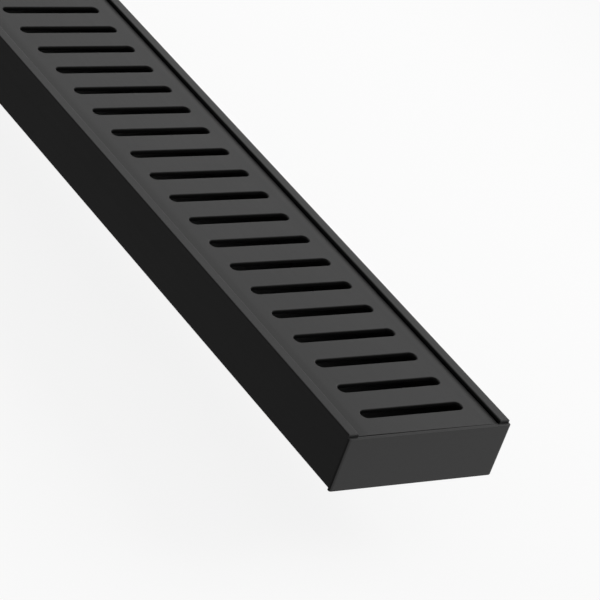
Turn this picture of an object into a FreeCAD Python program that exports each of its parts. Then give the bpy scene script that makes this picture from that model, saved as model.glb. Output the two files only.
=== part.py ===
import FreeCAD, Part
import math
import os

# Linear channel drain: an extruded aluminium channel closed by two end caps, a drop-in slotted grate
# and a clamped outlet. X runs across the channel, Y along it and +Z up. The origin is on the outlet's
# axis, at the lower mouth of its spigot, where the waste pipe is joined on. Millimetres.

# Whole drain
OVERALL_LENGTH = 800.0
CHANNEL_WIDTH = 80.0
CHANNEL_HEIGHT = 26.0
OUTLET_DROP = 34.0          # underside of the channel above the mouth of the spigot

# Channel extrusion
WALL = 1.6
LIP_WIDTH = 4.7             # in-turned top lip, from the channel's side face
BOTTOM_EDGE_RADIUS = 0.8
LIP_EDGE_RADIUS = 0.5
INNER_COVE_RADIUS = 1.2

# End caps
CAP_THICKNESS = 1.5
CAP_BELOW_LIP = 1.3         # the caps stop level with the grate, below the lips' top
CAP_OVERHANG = 0.5          # the caps stand this far proud of the channel's sides and underside
CAP_CORNER_RADIUS = 0.6

# Grate: an inverted-U extrusion that stands loose on the channel's floor
GRATE_WIDTH = 70.0
GRATE_BELOW_LIP = 1.3
GRATE_PLATE = 2.0
GRATE_LEG = 1.8
GRATE_SHOULDER_RADIUS = 1.0
GRATE_INNER_RADIUS = 0.8
GRATE_FOOT_RADIUS = 0.4
GRATE_END_GAP = 0.6         # between the grate and each end cap
SLOT_LENGTH = 50.0
SLOT_WIDTH = 5.0
SLOT_PITCH = 16.75
SLOT_COUNT = 47

# Outlet: a flanged waste clamped through the floor, with a G 1 1/2 thread for its nut and below it
# a plain spigot for a 40 mm pipe socket
THREAD_RADIUS = 23.9
SPIGOT_RADIUS = 20.0
SPIGOT_LENGTH = 18.0
BORE_RADIUS = 17.5
FLANGE_RADIUS = 31.0
FLANGE_THICKNESS = 2.2
FLANGE_RIM = 0.9            # thickness left at the flange's tapered rim
HOLE_CLEARANCE = 0.4        # between the thread and everything it passes through
FLANGE_SEAL_THICKNESS = 1.0
RUBBER_WASHER_THICKNESS = 3.0
WASHER_RADIUS = 30.5
NUT_THICKNESS = 9.0
NUT_ACROSS_FLATS = 57.0
NUT_ACROSS_CORNERS = 63.0   # the hexagon's corners are turned down to this
NUT_THREAD_CLEARANCE = 0.1

# Levels and places that follow from the dimensions above
UNDERSIDE_Z = OUTLET_DROP
FLOOR_Z = UNDERSIDE_Z + WALL
LIP_TOP_Z = UNDERSIDE_Z + CHANNEL_HEIGHT
GRATE_TOP_Z = LIP_TOP_Z - GRATE_BELOW_LIP
CAP_TOP_Z = LIP_TOP_Z - CAP_BELOW_LIP
CHANNEL_LENGTH = OVERALL_LENGTH - 2 * CAP_THICKNESS
PASSAGE_RADIUS = THREAD_RADIUS + HOLE_CLEARANCE

UP = FreeCAD.Vector(0, 0, 1)


def rounded_face(corners, y):
    """A face in the XZ plane at y, from corners (x, z, radius) joined by tangent arcs."""
    edges = []
    starts = []
    ends = []
    middles = []
    for i, (x, z, radius) in enumerate(corners):
        corner = FreeCAD.Vector(x, y, z)
        before = FreeCAD.Vector(corners[i - 1][0], y, corners[i - 1][1]) - corner
        following = corners[(i + 1) % len(corners)]
        after = FreeCAD.Vector(following[0], y, following[1]) - corner
        half_angle = before.getAngle(after) / 2
        before.normalize()
        after.normalize()
        bisector = before + after
        bisector.normalize()
        starts.append(corner + before * (radius / math.tan(half_angle)))
        ends.append(corner + after * (radius / math.tan(half_angle)))
        middles.append(corner + bisector * (radius / math.sin(half_angle) - radius))
    for i, (x, z, radius) in enumerate(corners):
        if radius > 0:
            edges.append(Part.Arc(starts[i], middles[i], ends[i]).toShape())
        edges.append(Part.makeLine(ends[i], starts[(i + 1) % len(corners)]))
    return Part.Face(Part.Wire(edges))


def ring(inner_radius, outer_radius, low_z, thickness):
    """A flat round washer on the outlet's axis."""
    base = FreeCAD.Vector(0, 0, low_z)
    outside = Part.makeCylinder(outer_radius, thickness, base)
    return outside.cut(Part.makeCylinder(inner_radius, thickness, base))


def turned(outline):
    """A body turned about the outlet's axis, from corners (radius, z)."""
    points = [FreeCAD.Vector(r, 0, z) for r, z in outline + outline[:1]]
    face = Part.Face(Part.makePolygon(points))
    return face.revolve(FreeCAD.Vector(0, 0, 0), UP, 360)


def make_channel():
    """U-shaped extrusion with in-turned top lips and a round outlet hole in its floor."""
    half = CHANNEL_WIDTH / 2
    inner = half - WALL
    lip = half - LIP_WIDTH
    lip_under_z = LIP_TOP_Z - WALL
    right_side = [
        (half, UNDERSIDE_Z, BOTTOM_EDGE_RADIUS),
        (half, LIP_TOP_Z, LIP_EDGE_RADIUS),
        (lip, LIP_TOP_Z, LIP_EDGE_RADIUS),
        (lip, lip_under_z, LIP_EDGE_RADIUS),
        (inner, lip_under_z, LIP_EDGE_RADIUS),
        (inner, FLOOR_Z, INNER_COVE_RADIUS),
    ]
    left_side = [(-x, z, radius) for x, z, radius in reversed(right_side)]
    section = rounded_face(right_side + left_side, -CHANNEL_LENGTH / 2)
    body = section.extrude(FreeCAD.Vector(0, CHANNEL_LENGTH, 0))
    hole = Part.makeCylinder(PASSAGE_RADIUS, 3 * WALL, FreeCAD.Vector(0, 0, UNDERSIDE_Z - WALL))
    return body.cut(hole)


def make_end_cap(side):
    """Flat plate over one sawn end of the channel; side is -1 for the near end, 1 for the far end."""
    half = CHANNEL_WIDTH / 2 + CAP_OVERHANG
    low_z = UNDERSIDE_Z - CAP_OVERHANG
    corners = [
        (half, low_z, CAP_CORNER_RADIUS),
        (half, CAP_TOP_Z, CAP_CORNER_RADIUS),
        (-half, CAP_TOP_Z, CAP_CORNER_RADIUS),
        (-half, low_z, CAP_CORNER_RADIUS),
    ]
    face = rounded_face(corners, side * CHANNEL_LENGTH / 2)
    return face.extrude(FreeCAD.Vector(0, side * CAP_THICKNESS, 0))


def make_slot(y):
    """The cutter of one round-ended slot, with its middle at y."""
    radius = SLOT_WIDTH / 2
    left = radius - SLOT_LENGTH / 2
    right = SLOT_LENGTH / 2 - radius
    low_z = GRATE_TOP_Z - 2 * GRATE_PLATE
    height = 3 * GRATE_PLATE
    middle = Part.makeBox(right - left, SLOT_WIDTH, height, FreeCAD.Vector(left, y - radius, low_z))
    left_end = Part.makeCylinder(radius, height, FreeCAD.Vector(left, y, low_z))
    right_end = Part.makeCylinder(radius, height, FreeCAD.Vector(right, y, low_z))
    return middle.fuse([left_end, right_end]).removeSplitter()


def make_grate():
    """Inverted-U extrusion, its plate pierced by a row of cross slots."""
    half = GRATE_WIDTH / 2
    inner = half - GRATE_LEG
    plate_under_z = GRATE_TOP_Z - GRATE_PLATE
    right_side = [
        (half, FLOOR_Z, GRATE_FOOT_RADIUS),
        (half, GRATE_TOP_Z, GRATE_SHOULDER_RADIUS),
    ]
    left_side = [(-x, z, radius) for x, z, radius in reversed(right_side)]
    underneath = [
        (-inner, FLOOR_Z, GRATE_FOOT_RADIUS),
        (-inner, plate_under_z, GRATE_INNER_RADIUS),
        (inner, plate_under_z, GRATE_INNER_RADIUS),
        (inner, FLOOR_Z, GRATE_FOOT_RADIUS),
    ]
    length = CHANNEL_LENGTH - 2 * GRATE_END_GAP
    section = rounded_face(right_side + left_side + underneath, -length / 2)
    body = section.extrude(FreeCAD.Vector(0, length, 0))
    first_y = -SLOT_PITCH * (SLOT_COUNT - 1) / 2
    slots = [make_slot(first_y + i * SLOT_PITCH) for i in range(SLOT_COUNT)]
    return body.cut(Part.makeCompound(slots))


def make_outlet_body():
    """Moulded waste: a thin flange with a tapered rim, a thread under it and a plain spigot."""
    flange_under_z = FLOOR_Z + FLANGE_SEAL_THICKNESS
    flange_top_z = flange_under_z + FLANGE_THICKNESS
    outline = [
        (BORE_RADIUS, 0),
        (SPIGOT_RADIUS, 0),
        (SPIGOT_RADIUS, SPIGOT_LENGTH),
        (THREAD_RADIUS, SPIGOT_LENGTH),
        (THREAD_RADIUS, flange_under_z),
        (FLANGE_RADIUS, flange_under_z),
        (FLANGE_RADIUS, flange_under_z + FLANGE_RIM),
        (FLANGE_RADIUS - 3 * FLANGE_RIM, flange_top_z),
        (BORE_RADIUS, flange_top_z),
    ]
    return turned(outline)


def make_back_nut():
    """Moulded hexagon nut under the rubber washer, its corners turned down."""
    top_z = UNDERSIDE_Z - RUBBER_WASHER_THICKNESS
    base = FreeCAD.Vector(0, 0, top_z - NUT_THICKNESS)
    corner_radius = NUT_ACROSS_FLATS / 2 / math.cos(math.radians(30))
    turns = [math.radians(60 * i) for i in range(7)]
    corners = [base + FreeCAD.Vector(math.cos(a), math.sin(a), 0) * corner_radius for a in turns]
    hexagon = Part.Face(Part.makePolygon(corners)).extrude(UP * NUT_THICKNESS)
    turned_down = hexagon.common(Part.makeCylinder(NUT_ACROSS_CORNERS / 2, NUT_THICKNESS, base))
    return turned_down.cut(Part.makeCylinder(THREAD_RADIUS + NUT_THREAD_CLEARANCE, NUT_THICKNESS, base))


def make_parts():
    """Every piece of the drain by node name."""
    rubber_washer_z = UNDERSIDE_Z - RUBBER_WASHER_THICKNESS
    return {
        "channel": make_channel(),
        "end_cap_near": make_end_cap(-1),
        "end_cap_far": make_end_cap(1),
        "slotted_grate": make_grate(),
        "outlet_body": make_outlet_body(),
        "flange_seal": ring(PASSAGE_RADIUS, FLANGE_RADIUS, FLOOR_Z, FLANGE_SEAL_THICKNESS),
        "rubber_washer": ring(PASSAGE_RADIUS, WASHER_RADIUS, rubber_washer_z, RUBBER_WASHER_THICKNESS),
        "back_nut": make_back_nut(),
    }


def main():
    os.makedirs("parts", exist_ok=True)
    for name, shape in make_parts().items():
        shape.exportStep(f"parts/{name}.step")


main()
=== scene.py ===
"""Looks of a linear channel drain: satin black channel, end caps, slotted grate and clamped outlet.

Every piece replaces the CAD node of the same part and stands in that node's box. Metres; X across the
channel, Y along it, +Z up, the origin at the spigot's lower mouth.
"""

import math

import bmesh
import bpy
from mathutils import Matrix, Vector


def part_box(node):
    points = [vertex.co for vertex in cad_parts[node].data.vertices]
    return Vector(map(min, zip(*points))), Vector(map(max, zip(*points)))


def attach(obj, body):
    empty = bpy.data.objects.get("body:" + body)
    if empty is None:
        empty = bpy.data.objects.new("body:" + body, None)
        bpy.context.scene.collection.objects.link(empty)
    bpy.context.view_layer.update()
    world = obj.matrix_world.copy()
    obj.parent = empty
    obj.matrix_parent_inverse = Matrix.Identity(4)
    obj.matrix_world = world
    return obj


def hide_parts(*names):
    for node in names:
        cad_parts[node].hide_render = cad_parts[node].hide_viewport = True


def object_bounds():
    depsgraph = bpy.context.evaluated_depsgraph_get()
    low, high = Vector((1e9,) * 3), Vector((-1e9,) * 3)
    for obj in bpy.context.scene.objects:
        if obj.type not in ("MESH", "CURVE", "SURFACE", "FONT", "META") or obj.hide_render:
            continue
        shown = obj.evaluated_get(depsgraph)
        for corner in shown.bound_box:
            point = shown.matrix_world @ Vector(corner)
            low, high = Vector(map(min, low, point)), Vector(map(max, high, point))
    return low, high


MM = 0.001
QUARTER_STEPS = 6           # segments in a quarter turn of a small rounded edge

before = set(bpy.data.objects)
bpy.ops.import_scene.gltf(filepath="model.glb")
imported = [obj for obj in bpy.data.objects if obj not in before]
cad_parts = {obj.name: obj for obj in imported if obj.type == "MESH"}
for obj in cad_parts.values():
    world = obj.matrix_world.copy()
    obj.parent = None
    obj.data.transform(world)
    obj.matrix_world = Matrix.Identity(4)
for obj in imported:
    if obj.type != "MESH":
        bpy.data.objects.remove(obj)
cad_low, cad_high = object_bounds()

channel_low, channel_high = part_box("channel")
grate_low, grate_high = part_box("slotted_grate")
outlet_low, outlet_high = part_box("outlet_body")
nut_low, nut_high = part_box("back_nut")

# Channel and cap sections
WALL = 1.6 * MM
LIP_WIDTH = 4.7 * MM
LIP_EDGE_RADIUS = 0.5 * MM
LIP_END_EASE = 0.45 * MM            # the lips' top is filed round at the sawn ends
BOTTOM_EDGE_RADIUS = 0.8 * MM
INNER_COVE_RADIUS = 1.2 * MM
CAP_CORNER_RADIUS = 0.6 * MM
CAP_SIDE_EASE = 1.4 * MM            # the plate's face bends softly back at its sides
CAP_TOP_EASE = 0.4 * MM
CAP_EASE_DEPTH = 1.0 * MM
CAP_BACK_EASE = 0.1 * MM
CAP_CORNER_LOSS = 0.4               # the corners' radius shrinks by this share of the inset

# Grate
GRATE_PLATE = 2.0 * MM
GRATE_LEG = 1.8 * MM
GRATE_SHOULDER_RADIUS = 0.6 * MM
GRATE_FALL_WIDTH = 5.0 * MM         # the plate's outer border falls away a little towards the shoulder
GRATE_FALL = 0.2 * MM
GRATE_FALL_RADIUS = 60 * MM
GRATE_INNER_RADIUS = 0.8 * MM
GRATE_FOOT_RADIUS = 0.4 * MM
GRATE_NEAR_REACH = 0.35 * MM        # the loose grate lies close up to the near cap
GRATE_OUT_OF_SQUARE = 0.17 * MM     # how far its sawn near end runs off square, each way
SLOT_LENGTH = 50.0 * MM
SLOT_WIDTH = 5.0 * MM
SLOT_PITCH = 16.75 * MM
SLOT_COUNT = 47
SLOT_EASE = 0.6 * MM
SLOT_END_STEPS = 16
SLOT_REACH = (SLOT_LENGTH - SLOT_WIDTH) / 2     # from the slot's middle to the centres of its ends

# Outlet
THREAD_PITCH = 2.309 * MM           # eleven turns to the inch
THREAD_DEPTH = 1.1 * MM
THREAD_ROWS_A_TURN = 8
THREAD_RADIUS = 23.9 * MM
SPIGOT_RADIUS = 20.0 * MM
SPIGOT_LENGTH = 18.0 * MM
SHOULDER_STEP = 0.01 * MM           # keeps the thread's first row off the spigot's shoulder
BORE_RADIUS = 17.5 * MM
FLANGE_RIM = 0.9 * MM               # thickness left at the flange's tapered rim
FLANGE_TAPER = 3 * FLANGE_RIM
FLANGE_THICKNESS = 2.2 * MM
OUTLET_EASE = 0.4 * MM
HOLE_RADIUS = THREAD_RADIUS + 0.4 * MM      # of everything the thread passes through but the nut
NUT_BORE_RADIUS = THREAD_RADIUS + 0.1 * MM
NUT_EASE = 0.5 * MM
NUT_CORNER_DIP = 0.6                # how far the corners are turned down, as a share of their reach
SEAL_EASE = 0.3 * MM
WASHER_EASE = 0.6 * MM
WASHER_EDGE_STEPS = 3
TURN_STEPS = 96

# How much of a face's normal has to lie along X, Y or Z for the face to get the coat of its kind; the faces
# along X get the darker, less glossy coat of painted shade
SIDE_FACE = 0.7
INNER_SIDE_FACE = 0.9
SAWN_END_FACE = 0.7
CAP_SIDE_FACE = 0.5
CAP_TOP_FACE = 0.85
GRATE_TOP_FACE = 0.8

# Stage
FLOOR_REACH = 60                    # metres each way
FLOOR_GAP = 0.05 * MM               # between the floor and the spigot's mouth
FLOOR_COLOUR = (0.96, 0.96, 0.96, 1)
FLOOR_WHITE_SHARE = 0.85            # share of plain white in the floor that camera and mirror rays see
WORLD_STRENGTH = 0.42

# Camera
AIM_FROM_NEAR_END = 88.52 * MM
AIM_LEFT_OF_MIDDLE = 7.73 * MM
CAMERA_DISTANCE = 1.37941
CAMERA_AZIMUTH = -43.027
CAMERA_ELEVATION = 28.989
CAMERA_ROLL = 20.645
CAMERA_LENS = 205.457
SENSOR_WIDTH = 36
VIEW_REACH = 200                    # metres


# ---------------------------------------------------------------- mesh helpers

def rounded_outline(corners, steps=QUARTER_STEPS):
    """Points of a closed outline from corners (x, z, radius), each corner replaced by its arc."""
    points = []
    for i, (x, z, radius) in enumerate(corners):
        corner = Vector((x, z))
        if radius == 0:
            points.append(corner)
            continue
        before = (Vector(corners[i - 1][:2]) - corner).normalized()
        after = (Vector(corners[(i + 1) % len(corners)][:2]) - corner).normalized()
        half_angle = before.angle(after) / 2
        centre = corner + (before + after).normalized() * (radius / math.sin(half_angle))
        start = corner + before * (radius / math.tan(half_angle)) - centre
        end = corner + after * (radius / math.tan(half_angle)) - centre
        sweep_angle = math.pi - 2 * half_angle
        for step in range(steps + 1):
            turn = sweep_angle * step / steps
            spoke = start * math.sin(sweep_angle - turn) + end * math.sin(turn)
            points.append(centre + spoke / math.sin(sweep_angle))
    return points


def new_piece(name, build, smooth_angle=30):
    """A mesh object from a bmesh that build fills, shaded smooth within smooth_angle degrees."""
    mesh = bpy.data.meshes.new(name)
    bm = bmesh.new()
    build(bm)
    bmesh.ops.recalc_face_normals(bm, faces=bm.faces)
    for face in bm.faces:
        face.smooth = True
    for edge in bm.edges:
        if edge.is_manifold and edge.calc_face_angle(0) > math.radians(smooth_angle):
            edge.smooth = False
    bm.to_mesh(mesh)
    bm.free()
    piece = bpy.data.objects.new(name, mesh)
    bpy.context.scene.collection.objects.link(piece)
    weigh_normals(piece)
    return piece


def weigh_normals(piece):
    """Large flat faces keep their own normal, so that only the rounded edges shade round."""
    weighted = piece.modifiers.new("weighted_normals", "WEIGHTED_NORMAL")
    weighted.keep_sharp = True
    weighted.weight = 100


def quarter_round():
    """Pairs (inset, depth) along a quarter round of size 1, from the face it eases to the side."""
    turns = [math.pi / 2 * step / QUARTER_STEPS for step in range(QUARTER_STEPS + 1)]
    return [(1 - math.sin(turn), 1 - math.cos(turn)) for turn in turns]


def skin(bm, rings):
    """Faces between each ring of vertices and the next."""
    for near, far in zip(rings, rings[1:]):
        for i in range(len(near)):
            bm.faces.new((near[i - 1], near[i], far[i], far[i - 1]))


def closed_skin(bm, rings):
    """A closed body through the rings, with a flat face at each end."""
    skin(bm, rings)
    bm.faces.new(rings[0])
    bm.faces.new(rings[-1])


def sweep(bm, outline, stations):
    """A closed body: the XZ outline carried along Y through stations (y, highest z there)."""
    closed_skin(bm, [[bm.verts.new((p.x, y, min(p.y, top))) for p in outline] for y, top in stations])


def lathe(bm, profile_at, steps=TURN_STEPS):
    """A ring body about the Z axis from the closed profile of (radius, z) at each turn."""
    rings = []
    for step in range(steps):
        turn = 2 * math.pi * step / steps
        cos, sin = math.cos(turn), math.sin(turn)
        rings.append([bm.verts.new((r * cos, r * sin, z)) for r, z in profile_at(turn)])
    skin(bm, rings[-1:] + rings)


def finish_piece(piece, node, material):
    """The piece takes the CAD node's place and material."""
    piece.data.materials.append(material)
    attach(piece, "root")
    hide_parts(node)


def coat_faces(piece, coats, choose):
    """Further coats for the piece: choose(face) is 0 for its main coat, 1 for the first of these."""
    for coat in coats:
        piece.data.materials.append(coat)
    for face in piece.data.polygons:
        face.material_index = choose(face)


# ---------------------------------------------------------------- materials

class Nodes:
    """Short calls for building a node material."""

    def __init__(self, name):
        self.material = bpy.data.materials.new(name)
        self.material.use_nodes = True
        self.tree = self.material.node_tree
        self.shader = self.tree.nodes["Principled BSDF"]
        self.place = self.tree.nodes.new("ShaderNodeTexCoord").outputs["Object"]

    def link(self, source, target):
        self.tree.links.new(source, target)

    def noise(self, scale, detail=3.0, stretch=(1, 1, 1)):
        """Noise over the piece's own coordinates; scale is in waves per metre."""
        mapping = self.tree.nodes.new("ShaderNodeMapping")
        mapping.inputs["Scale"].default_value = stretch
        self.link(self.place, mapping.inputs["Vector"])
        texture = self.tree.nodes.new("ShaderNodeTexNoise")
        texture.inputs["Scale"].default_value = scale
        texture.inputs["Detail"].default_value = detail
        self.link(mapping.outputs["Vector"], texture.inputs["Vector"])
        return texture.outputs["Fac"]

    def spread(self, value, low, high):
        """The middle half of a noise spread over low to high."""
        ranged = self.tree.nodes.new("ShaderNodeMapRange")
        ranged.inputs["From Min"].default_value = 0.3
        ranged.inputs["From Max"].default_value = 0.7
        ranged.inputs["To Min"].default_value = low
        ranged.inputs["To Max"].default_value = high
        self.link(value, ranged.inputs["Value"])
        return ranged.outputs["Result"]

    def tinted(self, factor, tint, darkest, lightest):
        """The tint, drifting between these shares of itself."""
        mixed = self.tree.nodes.new("ShaderNodeMix")
        mixed.data_type = "RGBA"
        mixed.inputs["A"].default_value = (*(c * darkest for c in tint), 1)
        mixed.inputs["B"].default_value = (*(c * lightest for c in tint), 1)
        self.link(factor, mixed.inputs["Factor"])
        return mixed.outputs["Result"]

    def add(self, first, second):
        total = self.tree.nodes.new("ShaderNodeMath")
        total.operation = "ADD"
        self.link(first, total.inputs[0])
        self.link(second, total.inputs[1])
        return total.outputs["Value"]

    def bump(self, height, strength, distance, under=None):
        node = self.tree.nodes.new("ShaderNodeBump")
        node.inputs["Strength"].default_value = strength
        node.inputs["Distance"].default_value = distance
        self.link(height, node.inputs["Height"])
        if under is not None:
            self.link(under, node.inputs["Normal"])
        return node.outputs["Normal"]


def powder_coat(name, tint, roughness, gloss_level, line_strength):
    """Satin black coating over extruded metal: fine orange peel, faint die lines along Y, soft patches."""
    n = Nodes(name)
    patches = n.noise(scale=22, detail=3)
    peel = n.noise(scale=1400, detail=2)
    lines = n.noise(scale=1, detail=2, stretch=(650, 2.5, 650))
    n.link(n.tinted(patches, tint, 0.88, 1.12), n.shader.inputs["Base Color"])
    rough = n.add(n.spread(patches, roughness - 0.015, roughness + 0.015), n.spread(lines, -0.012, 0.012))
    n.link(rough, n.shader.inputs["Roughness"])
    grain = n.bump(peel, strength=0.05, distance=0.02 * MM)
    scored = n.bump(lines, strength=line_strength, distance=0.02 * MM, under=grain)
    n.link(scored, n.shader.inputs["Normal"])
    n.shader.inputs["Specular IOR Level"].default_value = gloss_level
    return n.material


def moulded_plastic(name, tint, roughness):
    """Moulded waste fitting: fine spark texture and slow colour drift."""
    n = Nodes(name)
    grain = n.noise(scale=1800, detail=3)
    drift = n.noise(scale=35, detail=2)
    n.link(n.tinted(drift, tint, 0.85, 1.15), n.shader.inputs["Base Color"])
    n.link(n.spread(grain, roughness - 0.05, roughness + 0.05), n.shader.inputs["Roughness"])
    n.link(n.bump(grain, strength=0.15, distance=0.03 * MM), n.shader.inputs["Normal"])
    n.shader.inputs["Specular IOR Level"].default_value = 0.4
    return n.material


def seal_rubber(name, tint):
    """Matt sealing rubber with a dusty bloom."""
    n = Nodes(name)
    bloom = n.noise(scale=120, detail=4)
    grain = n.noise(scale=2600, detail=2)
    n.link(n.tinted(bloom, tint, 1, 1.7), n.shader.inputs["Base Color"])
    n.link(n.spread(bloom, 0.7, 0.85), n.shader.inputs["Roughness"])
    n.link(n.bump(grain, strength=0.2, distance=0.03 * MM), n.shader.inputs["Normal"])
    n.shader.inputs["Specular IOR Level"].default_value = 0.25
    return n.material


# ---------------------------------------------------------------- pieces

def channel_outline():
    """The channel's section, from its lower right corner up round the right lip and back."""
    half = channel_high.x
    inner = half - WALL
    lip = half - LIP_WIDTH
    top = channel_high.z
    right = [
        (half, channel_low.z, BOTTOM_EDGE_RADIUS),
        (half, top, LIP_EDGE_RADIUS),
        (lip, top, LIP_EDGE_RADIUS),
        (lip, top - WALL, LIP_EDGE_RADIUS),
        (inner, top - WALL, LIP_EDGE_RADIUS),
        (inner, channel_low.z + WALL, INNER_COVE_RADIUS),
    ]
    left = [(-x, z, radius) for x, z, radius in reversed(right)]
    return rounded_outline(right + left)


def drill(piece, radius, low_z, high_z):
    """Cuts a round hole about the Z axis through the piece, and applies the cut."""
    cutter = new_piece("cutter", lambda bm: bmesh.ops.create_cone(
        bm, cap_ends=True, segments=TURN_STEPS, radius1=radius, radius2=radius,
        depth=high_z - low_z, matrix=Matrix.Translation((0, 0, (low_z + high_z) / 2))))
    cut = piece.modifiers.new("cut", "BOOLEAN")
    cut.operation = "DIFFERENCE"
    cut.solver = "EXACT"
    cut.object = cutter
    bpy.context.view_layer.objects.active = piece
    bpy.ops.object.modifier_move_to_index(modifier="cut", index=0)
    bpy.ops.object.modifier_apply(modifier="cut")
    bpy.data.objects.remove(cutter)


def make_channel(material, painted_shade_material, end_material):
    """U-shaped extrusion with in-turned lips, filed at its sawn ends, and a hole in its floor."""
    top = channel_high.z
    near_end = [(channel_low.y + LIP_END_EASE * depth, top - LIP_END_EASE * inset)
                for inset, depth in quarter_round()]
    middle = [(-HOLE_RADIUS - WALL, top), (HOLE_RADIUS + WALL, top)]
    far_end = [(-y, highest) for y, highest in reversed(near_end)]
    stations = near_end + middle + far_end
    channel = new_piece("channel_body", lambda bm: sweep(bm, channel_outline(), stations))
    drill(channel, HOLE_RADIUS, channel_low.z - WALL, channel_low.z + 2 * WALL)
    finish_piece(channel, "channel", material)

    # Painted shade: faces that face across X, the outer walls and the steep inner ones, take the darker,
    # less glossy coat
    def choose(face):
        inward = face.normal.x * face.center.x < 0
        if abs(face.normal.x) > (INNER_SIDE_FACE if inward else SIDE_FACE):
            return 1
        at_end = abs(face.center.y) > channel_high.y / 2
        return 2 if at_end and abs(face.normal.y) > SAWN_END_FACE else 0

    coat_faces(channel, [painted_shade_material, end_material], choose)


def make_end_cap(name, node, outward, material, painted_shade_material, top_material):
    """A plate over the channel's end, its outer edges eased; outward is -1 at the near end."""
    low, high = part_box(node)
    outer_y, inner_y = (low.y, high.y) if outward < 0 else (high.y, low.y)

    def outline(side_inset, top_inset):
        radius = CAP_CORNER_RADIUS - top_inset * CAP_CORNER_LOSS
        return rounded_outline([
            (high.x - side_inset, low.z + top_inset, radius),
            (high.x - side_inset, high.z - top_inset, radius),
            (low.x + side_inset, high.z - top_inset, radius),
            (low.x + side_inset, low.z + top_inset, radius),
        ])

    def build(bm):
        layers = [(CAP_SIDE_EASE * inset, CAP_TOP_EASE * inset, outer_y - outward * CAP_EASE_DEPTH * depth)
                  for inset, depth in quarter_round()]
        layers.append((0, 0, inner_y + outward * CAP_BACK_EASE))
        layers.append((CAP_BACK_EASE, CAP_BACK_EASE, inner_y))
        closed_skin(bm, [[bm.verts.new((p.x, y, p.y)) for p in outline(side, top)]
                         for side, top, y in layers])

    cap = new_piece(name, build)
    finish_piece(cap, node, material)

    # Painted shade: the cap's sides take the darker, less glossy coat
    def choose(face):
        if abs(face.normal.x) > CAP_SIDE_FACE:
            return 1
        return 2 if face.normal.z > CAP_TOP_FACE else 0

    coat_faces(cap, [painted_shade_material, top_material], choose)


def slot_loop(middle_x, y, grow):
    """The slot's outline: its right half circle, then its left one, each from the side at -Y or +Y."""
    radius = SLOT_WIDTH / 2 + grow
    loop = []
    for side in (1, -1):
        for step in range(SLOT_END_STEPS + 1):
            turn = math.pi * (step / SLOT_END_STEPS - 0.5)
            centre_x = middle_x + side * SLOT_REACH
            loop.append((centre_x + side * radius * math.cos(turn), y + side * radius * math.sin(turn)))
    return loop


def grate_side(side, middle_x):
    """Open profile of one leg, from the top's flat round the leg to the plate's underside."""
    half = (grate_high.x - grate_low.x) / 2
    inner = half - GRATE_LEG
    top, foot = grate_high.z, grate_low.z
    beyond = half / 2
    corners = [
        (beyond, top, 0),
        (half - GRATE_FALL_WIDTH, top, GRATE_FALL_RADIUS),
        (half, top - GRATE_FALL, GRATE_SHOULDER_RADIUS),
        (half, foot, GRATE_FOOT_RADIUS),
        (inner, foot, GRATE_FOOT_RADIUS),
        (inner, top - GRATE_PLATE, GRATE_INNER_RADIUS),
        (beyond, top - GRATE_PLATE, 0),
    ]
    arcs = rounded_outline(corners)[1:-1]
    return [(middle_x + side * p.x, p.y) for p in arcs]


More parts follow.
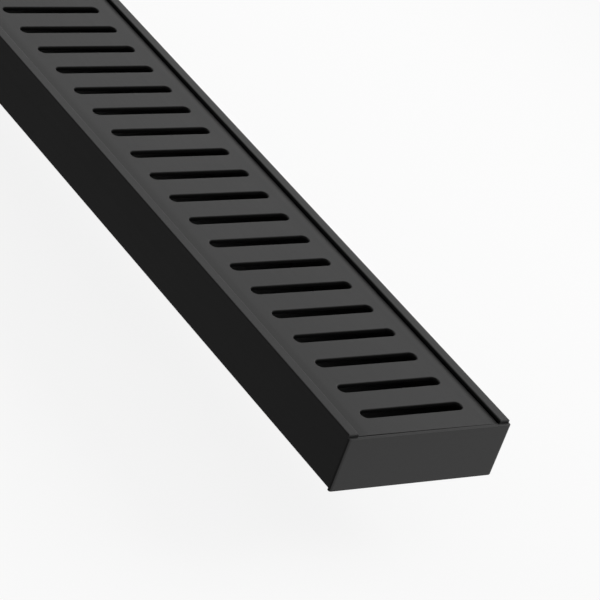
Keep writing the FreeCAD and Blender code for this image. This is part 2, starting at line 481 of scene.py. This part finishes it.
def make_grate(material, slot_painted_shade_material):
    """Inverted U with a row of eased slots, made cell by cell, one cell to a slot."""
    middle_x = (grate_low.x + grate_high.x) / 2
    middle_y = (grate_low.y + grate_high.y) / 2
    slot_ys = [middle_y + SLOT_PITCH * (i - (SLOT_COUNT - 1) / 2) for i in range(SLOT_COUNT)]
    rows = [grate_low.y] + [y + SLOT_PITCH / 2 for y in slot_ys[:-1]] + [grate_high.y]
    top, under = grate_high.z, grate_high.z - GRATE_PLATE
    right_leg = grate_side(1, middle_x)
    left_leg = grate_side(-1, middle_x)

    def row_point(bm, x, y, z):
        if y == grate_low.y:
            y += GRATE_OUT_OF_SQUARE * (middle_x - x) / (grate_high.x - middle_x) - GRATE_NEAR_REACH
        return bm.verts.new((x, y, z))

    def build(bm):
        marks = []
        for y in rows:
            marks.append({
                "right": [row_point(bm, x, y, z) for x, z in right_leg],
                "left": [row_point(bm, x, y, z) for x, z in left_leg],
                "top": [row_point(bm, middle_x + s * SLOT_REACH, y, top) for s in (-1, 1)],
                "under": [row_point(bm, middle_x + s * SLOT_REACH, y, under) for s in (-1, 1)],
            })
        for near, far in zip(marks, marks[1:]):
            for side in ("right", "left"):
                for i in range(len(near[side]) - 1):
                    bm.faces.new((near[side][i], near[side][i + 1], far[side][i + 1], far[side][i]))
        for i, slot_y in enumerate(slot_ys):
            cut_slot(bm, marks[i], marks[i + 1], slot_y)
        for mark in (marks[0], marks[-1]):
            bm.faces.new(mark["top"] + mark["right"] + mark["under"][::-1] + mark["left"][::-1])

    def cut_slot(bm, near, far, y):
        layers = [(SLOT_EASE * inset, top - SLOT_EASE * depth) for inset, depth in quarter_round()]
        layers += [(grow, top + under - z) for grow, z in reversed(layers)]
        loops = [[bm.verts.new((px, py, z)) for px, py in slot_loop(middle_x, y, grow)]
                 for grow, z in layers]
        skin(bm, loops)
        for loop, face, tip in ((loops[0], "top", 0), (loops[-1], "under", -1)):
            right = loop[:SLOT_END_STEPS + 1]
            left = loop[SLOT_END_STEPS + 1:]
            bm.faces.new((near[face][0], near[face][1], right[0], left[-1]))
            bm.faces.new((far[face][1], far[face][0], left[0], right[-1]))
            bm.faces.new([near[face][1], near["right"][tip], far["right"][tip], far[face][1]] + right[::-1])
            bm.faces.new([far[face][0], far["left"][tip], near["left"][tip], near[face][0]] + left[::-1])

    grate = new_piece("grate_body", build)
    finish_piece(grate, "slotted_grate", material)

    # Painted shade: the slot walls and their eases take the darker, less glossy coat, so the slots render
    # darker
    def choose(face):
        off_the_flat = abs(face.center.x - middle_x) < SLOT_LENGTH / 2 and face.normal.z < GRATE_TOP_FACE
        return 1 if off_the_flat and face.center.z > under else 0

    coat_faces(grate, [slot_painted_shade_material], choose)


def make_outlet(material):
    """Moulded waste: flange with a tapered rim, a thread under it, a plain spigot and the bore."""
    thread_top = outlet_high.z - FLANGE_THICKNESS
    flange_radius = outlet_high.x
    rows = round((thread_top - SPIGOT_LENGTH) / THREAD_PITCH * THREAD_ROWS_A_TURN)
    ease = OUTLET_EASE

    def thread_radius(z, turn):
        phase = (z / THREAD_PITCH - turn / (2 * math.pi)) % 1
        fade = min(1, (z - SPIGOT_LENGTH) / THREAD_PITCH, (thread_top - z) / THREAD_PITCH)
        return THREAD_RADIUS - THREAD_DEPTH * max(fade, 0) * abs(2 * phase - 1)

    def profile_at(turn):
        profile = [
            (BORE_RADIUS, ease), (BORE_RADIUS + ease, 0), (SPIGOT_RADIUS - ease, 0),
            (SPIGOT_RADIUS, ease), (SPIGOT_RADIUS, SPIGOT_LENGTH),
            (THREAD_RADIUS - THREAD_DEPTH, SPIGOT_LENGTH),
        ]
        for row in range(rows + 1):
            z = SPIGOT_LENGTH + (thread_top - SPIGOT_LENGTH) * row / rows
            profile.append((thread_radius(z, turn), z + (SHOULDER_STEP if row == 0 else 0)))
        return profile + [
            (flange_radius - ease / 2, thread_top), (flange_radius, thread_top + ease / 2),
            (flange_radius, thread_top + FLANGE_RIM),
            (flange_radius - FLANGE_TAPER, outlet_high.z), (BORE_RADIUS + ease, outlet_high.z),
            (BORE_RADIUS, outlet_high.z - ease),
        ]

    outlet = new_piece("outlet_fitting", lambda bm: lathe(bm, profile_at))
    finish_piece(outlet, "outlet_body", material)


def make_nut(material):
    """Moulded hexagon nut with turned-down corners and eased edges."""
    flat_radius = (nut_high.y - nut_low.y) / 2
    corner_radius = nut_high.x

    def profile_at(turn):
        within = (turn - math.pi / 6) % (math.pi / 3) - math.pi / 6
        outer = min(flat_radius / math.cos(within), corner_radius)
        rim = NUT_EASE + max(0, outer - flat_radius) * NUT_CORNER_DIP
        return [
            (NUT_BORE_RADIUS, nut_low.z + NUT_EASE), (NUT_BORE_RADIUS + NUT_EASE, nut_low.z),
            (flat_radius - NUT_EASE, nut_low.z), (outer, nut_low.z + rim),
            (outer, nut_high.z - rim), (flat_radius - NUT_EASE, nut_high.z),
            (NUT_BORE_RADIUS + NUT_EASE, nut_high.z), (NUT_BORE_RADIUS, nut_high.z - NUT_EASE),
        ]

    nut = new_piece("nut", lambda bm: lathe(bm, profile_at, 2 * TURN_STEPS))
    finish_piece(nut, "back_nut", material)


def make_washer(name, node, ease, material):
    """A flat round seal with rounded edges."""
    low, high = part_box(node)
    profile = rounded_outline([
        (HOLE_RADIUS, low.z, ease),
        (high.x, low.z, ease),
        (high.x, high.z, ease),
        (HOLE_RADIUS, high.z, ease),
    ], WASHER_EDGE_STEPS)
    washer = new_piece(name, lambda bm: lathe(bm, lambda turn: profile))
    finish_piece(washer, node, material)


def make_object():
    satin = {"tint": (0.014, 0.014, 0.014), "roughness": 0.46}
    channel_coat = powder_coat("channel_coat", gloss_level=0.17, line_strength=0.10, **satin)
    grate_coat = powder_coat("grate_coat", gloss_level=0.17, line_strength=0.10, **satin)
    cap_coat = powder_coat("cap_coat", gloss_level=0.30, line_strength=0.03, **satin)
    # Painted shade: a darker, less glossy copy of the satin coat, for the faces that face sideways and for
    # the slot walls
    painted_shade_coat = powder_coat("painted_shade_coat", tint=(0.0066, 0.0066, 0.0066), roughness=0.50,
                            gloss_level=0.057, line_strength=0.10)
    plastic = moulded_plastic("outlet_moulding", tint=(0.02, 0.02, 0.021), roughness=0.42)
    rubber = seal_rubber("rubber", tint=(0.013, 0.013, 0.013))
    make_channel(channel_coat, painted_shade_coat, cap_coat)
    make_end_cap("near_cap", "end_cap_near", -1, cap_coat, painted_shade_coat, grate_coat)
    make_end_cap("far_cap", "end_cap_far", 1, cap_coat, painted_shade_coat, grate_coat)
    make_grate(grate_coat, painted_shade_coat)
    make_outlet(plastic)
    make_nut(plastic)
    make_washer("flange_gasket", "flange_seal", SEAL_EASE, rubber)
    make_washer("nut_gasket", "rubber_washer", WASHER_EASE, rubber)


# ---------------------------------------------------------------- stage

def mix_shader(tree, factor, first, second):
    """The first shader where factor is 0 and the second where it is 1."""
    mix = tree.nodes.new("ShaderNodeMixShader")
    tree.links.new(factor, mix.inputs["Fac"])
    tree.links.new(first, mix.inputs[1])
    tree.links.new(second, mix.inputs[2])
    return mix.outputs["Shader"]


def white_share(tree, share):
    """This much for what the camera sees, directly, mirrored or through glass, and nothing for the rest."""
    path = tree.nodes.new("ShaderNodeLightPath")
    seen = path.outputs["Is Camera Ray"]
    for ray in ("Is Glossy Ray", "Is Transmission Ray"):
        either = tree.nodes.new("ShaderNodeMath")
        either.operation = "MAXIMUM"
        tree.links.new(seen, either.inputs[0])
        tree.links.new(path.outputs[ray], either.inputs[1])
        seen = either.outputs["Value"]
    scaled = tree.nodes.new("ShaderNodeMath")
    scaled.operation = "MULTIPLY"
    tree.links.new(seen, scaled.inputs[0])
    scaled.inputs[1].default_value = share
    return scaled.outputs["Value"]


def make_floor():
    """A very large plain floor at the spigot's mouth, see-through from below."""
    reach = FLOOR_REACH
    mesh = bpy.data.meshes.new("floor")
    corners = [(-reach, -reach, 0), (reach, -reach, 0), (reach, reach, 0), (-reach, reach, 0)]
    mesh.from_pydata(corners, [], [(0, 1, 2, 3)])
    floor = bpy.data.objects.new("floor", mesh)
    bpy.context.scene.collection.objects.link(floor)
    floor.location.z = cad_low.z - FLOOR_GAP
    material = bpy.data.materials.new("floor_paint")
    material.use_nodes = True
    tree = material.node_tree
    paint = tree.nodes["Principled BSDF"]
    paint.inputs["Base Color"].default_value = FLOOR_COLOUR
    paint.inputs["Roughness"].default_value = 1
    paint.inputs["Specular IOR Level"].default_value = 0
    white = tree.nodes.new("ShaderNodeEmission")
    clear = tree.nodes.new("ShaderNodeBsdfTransparent")
    whitened = mix_shader(tree, white_share(tree, FLOOR_WHITE_SHARE), paint.outputs["BSDF"],
                          white.outputs["Emission"])
    backfacing = tree.nodes.new("ShaderNodeNewGeometry").outputs["Backfacing"]
    surface = mix_shader(tree, backfacing, whitened, clear.outputs["BSDF"])
    tree.links.new(surface, tree.nodes["Material Output"].inputs["Surface"])
    mesh.materials.append(material)


def direction(azimuth, elevation):
    """The unit vector towards a place; azimuth 0 is at -Y and 90 at +X, in degrees."""
    a, e = math.radians(azimuth), math.radians(elevation)
    return Vector((math.sin(a) * math.cos(e), -math.cos(a) * math.cos(e), math.sin(e)))


def make_softbox(name, azimuth, elevation, strength, spread):
    """A far disc light, spread degrees wide, that lights the whole floor evenly."""
    light = bpy.data.lights.new(name, "SUN")
    light.energy = strength
    light.angle = math.radians(spread)
    lamp = bpy.data.objects.new(name, light)
    lamp.rotation_mode = "QUATERNION"
    lamp.rotation_quaternion = direction(azimuth, elevation).to_track_quat("Z", "Y")
    bpy.context.scene.collection.objects.link(lamp)


def make_strip(name, azimuth, elevation, distance, long_side, short_side, radiance):
    """A long soft strip light along the channel's side, facing it, which the camera doesn't see."""
    light = bpy.data.lights.new(name, "AREA")
    light.shape = "RECTANGLE"
    light.size = long_side
    light.size_y = short_side
    light.energy = radiance * math.pi * long_side * short_side
    back = direction(azimuth, elevation)
    lamp = bpy.data.objects.new(name, light)
    lamp.visible_camera = False
    lamp.location = Vector((0, 0, cad_high.z)) + back * distance
    lamp.rotation_mode = "QUATERNION"
    lamp.rotation_quaternion = back.to_track_quat("Z", "Y")
    bpy.context.scene.collection.objects.link(lamp)


def make_world():
    """Even studio air, which lights the drain at WORLD_STRENGTH and is seen as plain white."""
    world = bpy.data.worlds.new("studio")
    world.use_nodes = True
    bpy.context.scene.world = world
    tree = world.node_tree
    background = tree.nodes["Background"]
    background.inputs["Color"].default_value = (1, 1, 1, 1)
    brighter = tree.nodes.new("ShaderNodeMath")
    brighter.operation = "ADD"
    brighter.inputs[0].default_value = WORLD_STRENGTH
    tree.links.new(white_share(tree, 1 - WORLD_STRENGTH), brighter.inputs[1])
    tree.links.new(brighter.outputs["Value"], background.inputs["Strength"])


def make_camera():
    """A long lens that looks down on the near end from its left."""
    aim = Vector((-AIM_LEFT_OF_MIDDLE, cad_low.y + AIM_FROM_NEAR_END, cad_high.z))
    back = direction(CAMERA_AZIMUTH, CAMERA_ELEVATION)
    camera = bpy.data.objects.new("camera", bpy.data.cameras.new("camera"))
    bpy.context.scene.collection.objects.link(camera)
    camera.data.lens = CAMERA_LENS
    camera.data.sensor_width = SENSOR_WIDTH
    camera.data.clip_end = VIEW_REACH
    camera.location = aim + back * CAMERA_DISTANCE
    camera.rotation_mode = "QUATERNION"
    roll = Matrix.Rotation(math.radians(CAMERA_ROLL), 4, back).to_quaternion()
    camera.rotation_quaternion = roll @ (-back).to_track_quat("-Z", "Y")
    bpy.context.scene.camera = camera


def make_stage():
    make_floor()
    make_world()
    make_softbox("key_light", azimuth=88, elevation=33, strength=1.4, spread=40)
    make_strip("strip_light", azimuth=90, elevation=28, distance=0.4, long_side=1.2, short_side=0.15,
               radiance=0.95)
    make_camera()
    bpy.context.scene.view_settings.view_transform = "Standard"


make_object()
make_stage()
